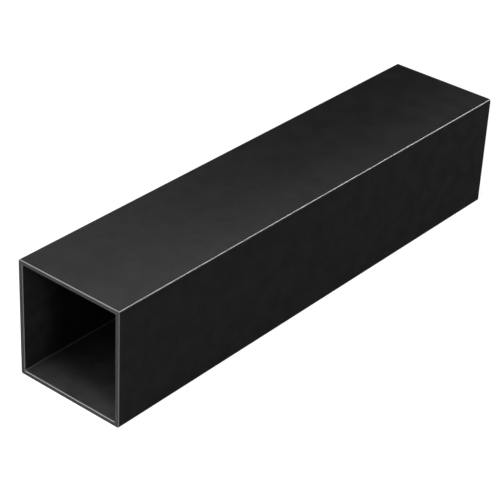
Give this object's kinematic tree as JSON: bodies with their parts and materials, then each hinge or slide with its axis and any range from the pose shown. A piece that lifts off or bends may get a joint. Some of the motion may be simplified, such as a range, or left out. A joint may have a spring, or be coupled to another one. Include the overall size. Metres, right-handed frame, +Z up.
{
  "type": "square metal tube",
  "caption": "Straight length of thin-walled square metal tube with tight corners, sawn square and open at both ends, in a matte black coat.",
  "frame": {"origin": "middle of the underside, halfway between the two sawn ends", "axes": "+Z up, from the wall it lies on to the top wall; +Y along the tube; +X across it"},
  "size_m": [0.05, 0.23, 0.05],
  "materials": {
    "black_coat": "matte"
  },
  "bodies": {
    "root": {"square_tube": "black_coat"}
  },
  "joints": []
}
